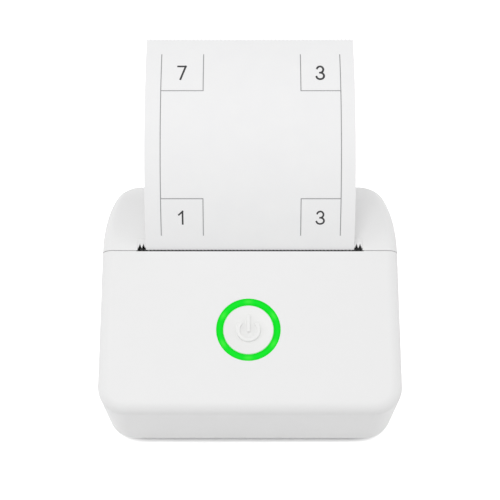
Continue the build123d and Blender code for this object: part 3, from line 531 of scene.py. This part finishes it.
roll_low, roll_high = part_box("paper_roll")
roll_centre = ((roll_low.y + roll_high.y) / 2, (roll_low.z + roll_high.z) / 2)
turn_pitch = 0.00024
turn_wander = 0.14
turn_phase = 0.43
wound_paper, tree, shader, place = start_finish("wound_paper")
apart = tree.nodes.new("ShaderNodeSeparateXYZ")
tree.links.new(place, apart.inputs["Vector"])
from_y = work(tree, "SUBTRACT", apart.outputs["Y"], roll_centre[0])
from_z = work(tree, "SUBTRACT", apart.outputs["Z"], roll_centre[1])
radius = work(tree, "SQRT", work(tree, "ADD", work(tree, "MULTIPLY", from_y, from_y),
                                 work(tree, "MULTIPLY", from_z, from_z)))
roll_radius = (roll_high.y - roll_low.y) / 2
under_face = work(tree, "DIVIDE", work(tree, "SUBTRACT", roll_radius, radius), turn_pitch)
ripple = work(tree, "MULTIPLY", speckle(tree, place, 0.004), turn_wander)
turns = work(tree, "ADD", work(tree, "ADD", under_face, ripple), turn_phase)
gap = work(tree, "PINGPONG", turns, 0.5)
sheet_share = work(tree, "MULTIPLY", gap, 2.0)
# Painted shade: the darker grey stands for the shade in the gap between one turn and the next.
tree.links.new(mingle(tree, sheet_share, tint(196, 196, 194), tint(243, 243, 242)),
               shader.inputs["Base Color"])
relief(tree, shader, gap, 0.00004)
shader.inputs["Roughness"].default_value = 0.6
dress("paper_roll", wound_paper)
dress("paper_web", paper_white)

card_grey, tree, shader, place = start_finish("card_grey")
pulp = speckle(tree, place, 0.0009, 6.0, (1.0, 0.6, 0.6))
tree.links.new(mingle(tree, pulp, tint(150, 140, 124), tint(182, 172, 154)),
               shader.inputs["Base Color"])
shader.inputs["Roughness"].default_value = 0.85
relief(tree, shader, pulp, 0.00004)
dress("roll_core", card_grey)


# Printed slip. The paper that has come out of the slot and arcs back over the cover, its end
# toothed by the tear bar. The head has printed four plain numbers in ruled corners on it.
dress("paper_strip", paper_white)
arc_radius = 0.04935
ink_lift = 0.000012
ink_step = 0.0005


def on_slip(across, arc_length):
    """A point on the slip's outer face, metres across and metres along the arc from its zero."""
    turn = arc_length / arc_radius
    reach = arc_radius + ink_lift
    return Vector((across, arc_centre[0] + reach * math.cos(turn),
                   arc_centre[1] + reach * math.sin(turn)))


def ink_line(shape, points, width):
    """A printed stroke through points given as metres across and metres down the slip."""
    for (x0, s0), (x1, s1) in zip(points[:-1], points[1:]):
        length = math.hypot(x1 - x0, s1 - s0)
        along = ((x1 - x0) / length, (s1 - s0) / length)
        side = (-along[1] * width / 2, along[0] * width / 2)
        steps = max(1, math.ceil(length / ink_step))
        rows = []
        for i in range(steps + 1):
            reach = -width / 2 + (length + width) * i / steps
            x, s = x0 + along[0] * reach, s0 + along[1] * reach
            rows.append([shape.verts.new(on_slip(x + sign * side[0], s + sign * side[1]))
                         for sign in (-1, 1)])
        for near, far in zip(rows[:-1], rows[1:]):
            shape.faces.new((near[0], far[0], far[1], near[1]))


def down(degrees):
    """Metres along the slip's arc, counted from zero degrees."""
    return math.radians(degrees) * arc_radius


def arc_stroke(x, s, radius_x, radius_s, start, end):
    """Points of part of an ellipse; 0 degrees is to the right and 90 down the slip."""
    count = 14
    points = []
    for i in range(count + 1):
        turn = math.radians(start + (end - start) * i / count)
        points.append((x + radius_x * math.cos(turn), s + radius_s * math.sin(turn)))
    return points


rule_width = 0.00022
left_rule, right_rule = -0.02245, 0.02285
left_box, right_box = -0.01180, 0.01282
top_start, top_rule = 78.57, 90.93
low_rule, low_end = 122.95, 134.20
rules = bmesh.new()
ink_line(rules, [(left_rule, down(top_start)), (left_rule, down(low_end))], rule_width)
ink_line(rules, [(right_rule, down(top_start)), (right_rule, down(low_end))], rule_width)
for inner, edge in ((left_box, left_rule), (right_box, right_rule)):
    ink_line(rules, [(inner, down(top_start)), (inner, down(top_rule))], rule_width)
    ink_line(rules, [(inner, down(top_rule)), (edge, down(top_rule))], rule_width)
    ink_line(rules, [(inner, down(low_rule)), (inner, down(low_end))], rule_width)
    ink_line(rules, [(inner, down(low_rule)), (edge, down(low_rule))], rule_width)
rule_ink, tree, shader, place = start_finish("rule_ink")
dots = speckle(tree, place, 0.0002)
tree.links.new(mingle(tree, dots, tint(138, 138, 140), tint(160, 160, 162)),
               shader.inputs["Base Color"])
shader.inputs["Roughness"].default_value = 0.6
place_piece("printed_rules", rules, "paper_strip", rule_ink)

low_half, low_width = 0.00164, 0.00042
top_half, top_width = 0.00186, 0.00049
top_figure, low_figure = down(85.0), down(128.7)
top_seven, top_three = -0.01722, 0.01778
low_one, low_three = -0.01745, 0.01773
figures = bmesh.new()


def print_seven(x, s, half, width):
    """A seven: a bar and a slanting leg."""
    bar_half = 0.00096
    foot_left = 0.00032
    corner = (x + bar_half, s - half)
    ink_line(figures, [(x - bar_half, s - half), corner], width)
    ink_line(figures, [corner, (x - foot_left, s + half)], width)


def print_one(x, s, half, width):
    """A one: a short flag and an upright."""
    stem_right = 0.00048
    flag_left = 0.00045
    flag_drop = 0.00085
    peak = (x + stem_right, s - half)
    ink_line(figures, [(x - flag_left, s - half + flag_drop), peak], width)
    ink_line(figures, [peak, (x + stem_right, s + half)], width)


def print_three(x, s, half, width):
    """A three: two bowls, the lower one wider."""
    bowls_left = 0.00005
    upper_bowl, lower_bowl = 0.00080, 0.00096
    for radius_x, middle, start, end in ((upper_bowl, s - half / 2, 200, 450),
                                         (lower_bowl, s + half / 2, -90, 165)):
        ink_line(figures, arc_stroke(x - bowls_left, middle, radius_x, half / 2, start, end), width)


print_seven(top_seven, top_figure, top_half, top_width)
print_three(top_three, top_figure, top_half, top_width)
print_one(low_one, low_figure, low_half, low_width)
print_three(low_three, low_figure, low_half, low_width)
figure_ink, tree, shader, place = start_finish("figure_ink")
dots = speckle(tree, place, 0.00018)
tree.links.new(mingle(tree, dots, tint(40, 40, 42), tint(56, 56, 58)), shader.inputs["Base Color"])
shader.inputs["Roughness"].default_value = 0.55
place_piece("printed_figures", figures, "paper_strip", figure_ink)


# The table. A plain white sheet under the printer, with painted shade close to the body's edge:
# its colour for the camera runs to dark grey where an ambient-occlusion node finds the body near.
# It stands in an even pale room with one soft lamp overhead and one at each side. The camera
# looks steeply down at the slot.
sheet_half = 3.0
shade_reach = 0.0045
shade_full, shade_none = 0.45, 0.8
camera_white = (2.0, 2.0, 2.0, 1.0)
mirror_white = (1.5, 1.5, 1.5, 1.0)
table = bpy.data.meshes.new("table")
table.from_pydata([(-sheet_half, -sheet_half, 0), (sheet_half, -sheet_half, 0),
                   (sheet_half, sheet_half, 0), (-sheet_half, sheet_half, 0)],
                  [], [(0, 1, 2, 3)])
table_top = bpy.data.objects.new("table_top", table)
bpy.context.scene.collection.objects.link(table_top)
table_white = bpy.data.materials.new("table_white")
table_white.use_nodes = True
tree = table_white.node_tree
shader = tree.nodes["Principled BSDF"]
shader.inputs["Roughness"].default_value = 0.9
shader.inputs["Specular IOR Level"].default_value = 0.0
path = tree.nodes.new("ShaderNodeLightPath")
# Painted shade: the ambient occlusion below darkens the sheet's camera colour close to the body,
# drawing its contact shadow.
shelter = tree.nodes.new("ShaderNodeAmbientOcclusion")
shelter.samples = 16
shelter.inputs["Distance"].default_value = shade_reach
painted_shade_share = tree.nodes.new("ShaderNodeMapRange")
painted_shade_share.inputs["From Min"].default_value = shade_full
painted_shade_share.inputs["From Max"].default_value = shade_none
tree.links.new(shelter.outputs["AO"], painted_shade_share.inputs["Value"])
sheet_with_painted_shade = mingle(tree, painted_shade_share.outputs["Result"], tint(134, 134, 136), camera_white)
seen_beyond = work(tree, "MAXIMUM", path.outputs["Is Glossy Ray"],
                   path.outputs["Is Transmission Ray"])
mirrored = mingle(tree, seen_beyond, tint(222, 222, 222), mirror_white)
shown = mingle(tree, path.outputs["Is Camera Ray"], mirrored, sheet_with_painted_shade)
tree.links.new(shown, shader.inputs["Base Color"])
table.materials.append(table_white)

room_light = 0.65
backdrop_extra = 0.35
room = bpy.data.worlds.new("room")
room.use_nodes = True
bpy.context.scene.world = room
tree = room.node_tree
sky = tree.nodes["Background"]
sky.inputs["Color"].default_value = (1.0, 1.0, 1.0, 1.0)
path = tree.nodes.new("ShaderNodeLightPath")
seen_beyond = work(tree, "MAXIMUM", path.outputs["Is Glossy Ray"],
                   path.outputs["Is Transmission Ray"])
seen = work(tree, "MAXIMUM", path.outputs["Is Camera Ray"], seen_beyond)
backdrop_light = work(tree, "MULTIPLY", seen, backdrop_extra)
tree.links.new(work(tree, "ADD", backdrop_light, room_light), sky.inputs["Strength"])

lamp_size = 0.5
lamp_aim = Vector((0.0, 0.0, 0.03))


def hang_lamp(name, place, power):
    """A square soft lamp at place, turned towards the printer."""
    lamp = bpy.data.lights.new(name, "AREA")
    lamp.shape = "SQUARE"
    lamp.size = lamp_size
    lamp.energy = power
    hung = bpy.data.objects.new(name, lamp)
    hung.location = place
    hung.rotation_euler = (lamp_aim - Vector(place)).to_track_quat("-Z", "Y").to_euler()
    bpy.context.scene.collection.objects.link(hung)


hang_lamp("key_lamp", (-0.12, 0.06, 0.86), 1.72)
hang_lamp("left_lamp", (-0.80, 0.0, 0.40), 0.9)
hang_lamp("right_lamp", (0.80, 0.0, 0.40), 0.75)

slot_point = Vector((0.0, 0.008255, 0.0385))
camera_distance = 0.349
tilt = math.radians(71.0)
camera = bpy.data.cameras.new("camera")
camera.lens = 98.76
camera.sensor_width = 36.0
camera.shift_y = 0.0005
camera.clip_start = 0.01
eye = bpy.data.objects.new("camera", camera)
eye.location = slot_point + camera_distance * Vector((0.0, -math.cos(tilt), math.sin(tilt)))
eye.rotation_euler = (math.pi / 2 - tilt, 0.0, 0.0)
bpy.context.scene.collection.objects.link(eye)
bpy.context.scene.camera = eye
bpy.context.scene.view_settings.view_transform = "Standard"
